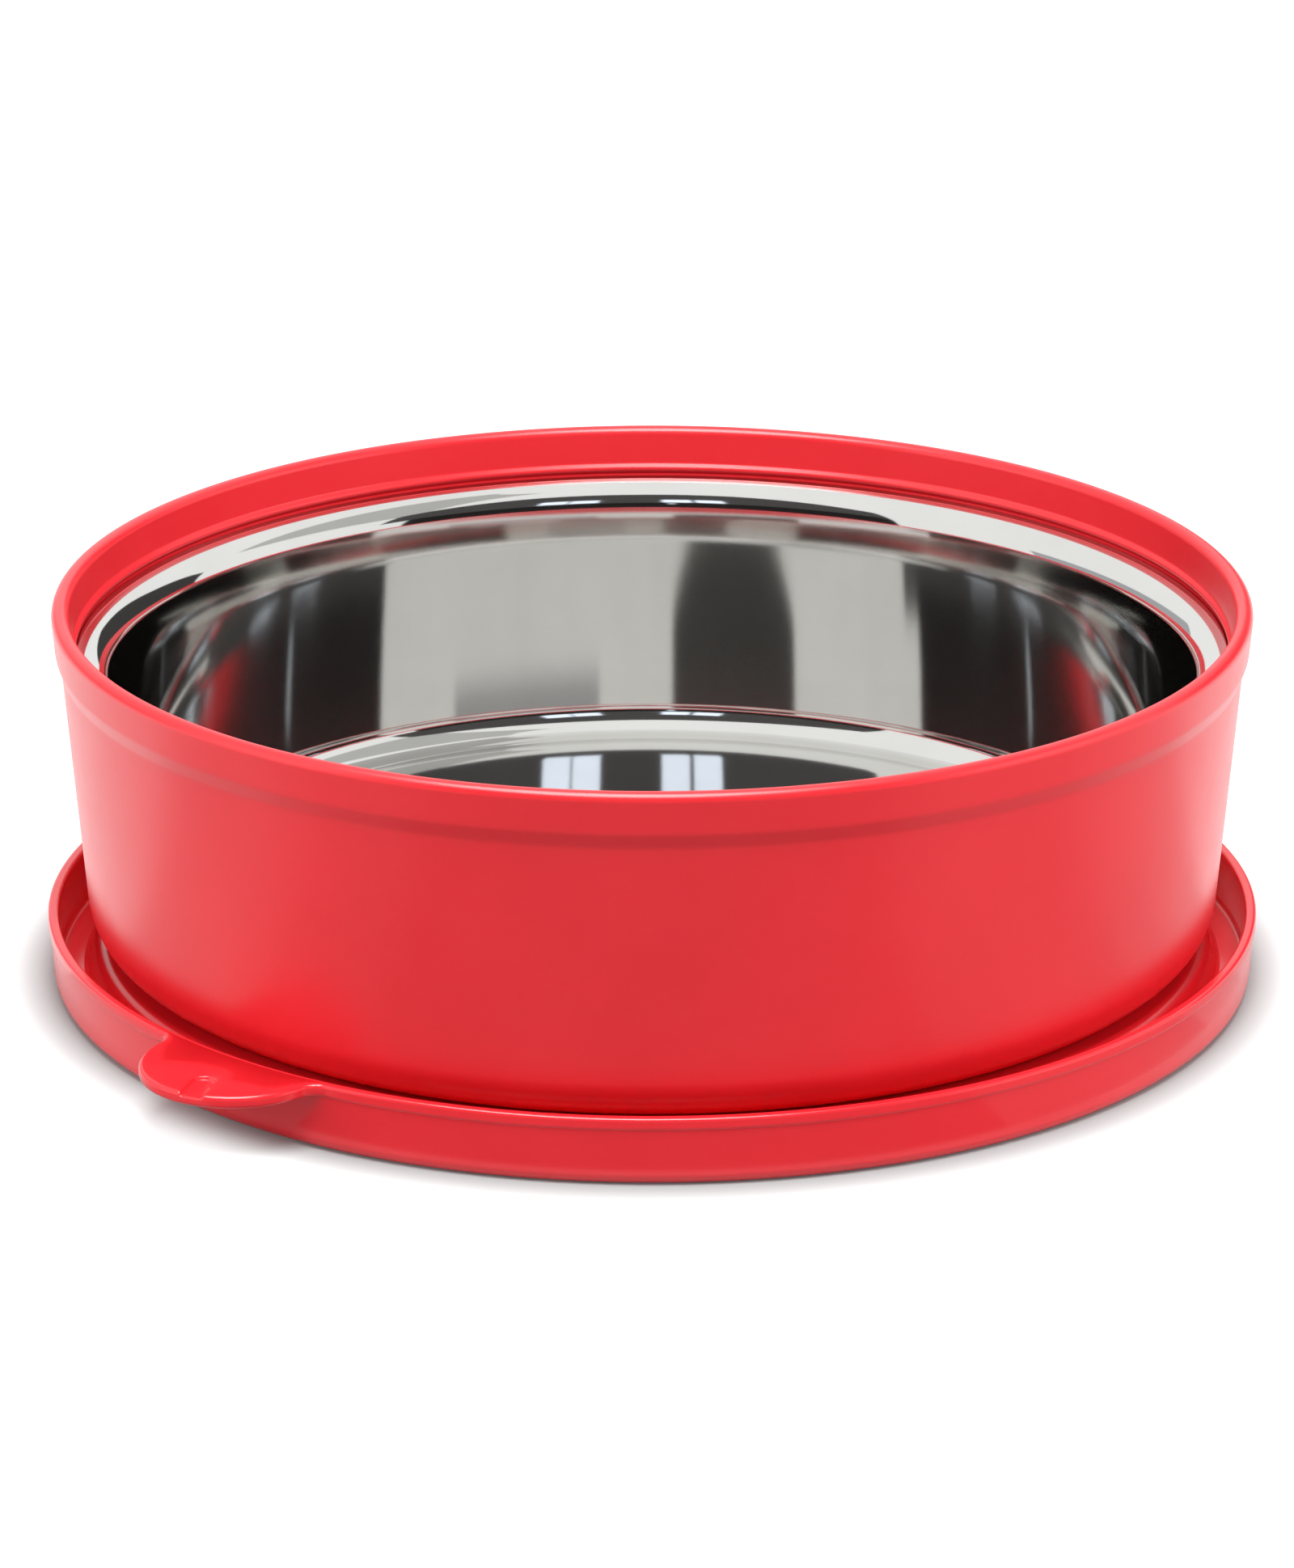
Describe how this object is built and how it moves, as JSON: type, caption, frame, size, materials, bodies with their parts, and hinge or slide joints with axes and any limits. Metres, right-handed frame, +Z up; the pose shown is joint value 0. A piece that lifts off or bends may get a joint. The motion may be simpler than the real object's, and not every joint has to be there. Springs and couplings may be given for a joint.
{
  "type": "lunch box",
  "caption": "Round lunch box: moulded plastic bowl with a fixed steel liner for food, standing in its upturned snap lid with a finger tab.",
  "frame": {"origin": "on the axis of the box, on the surface that the upturned lid rests on", "axes": "+Z up along the axis of the box, the lid's finger tab points to the front left, between -X and -Y"},
  "size_m": [0.1932, 0.1932, 0.0616],
  "materials": {
    "shell_plastic": "satin red moulding",
    "liner_steel": "polished stainless sheet",
    "seal_rubber": "translucent grey silicone",
    "lid_plastic": "glossy red moulding"
  },
  "bodies": {
    "lid": {"lid": "lid_plastic"},
    "bowl": {"outer_shell": "shell_plastic", "steel_liner": "liner_steel", "liner_seal": "seal_rubber"}
  },
  "joints": [
    {"name": "bowl_lift", "type": "slide", "parent": "lid", "child": "bowl", "axis": [0, 0, 1], "range_m": [0, 0.12]}
  ]
}
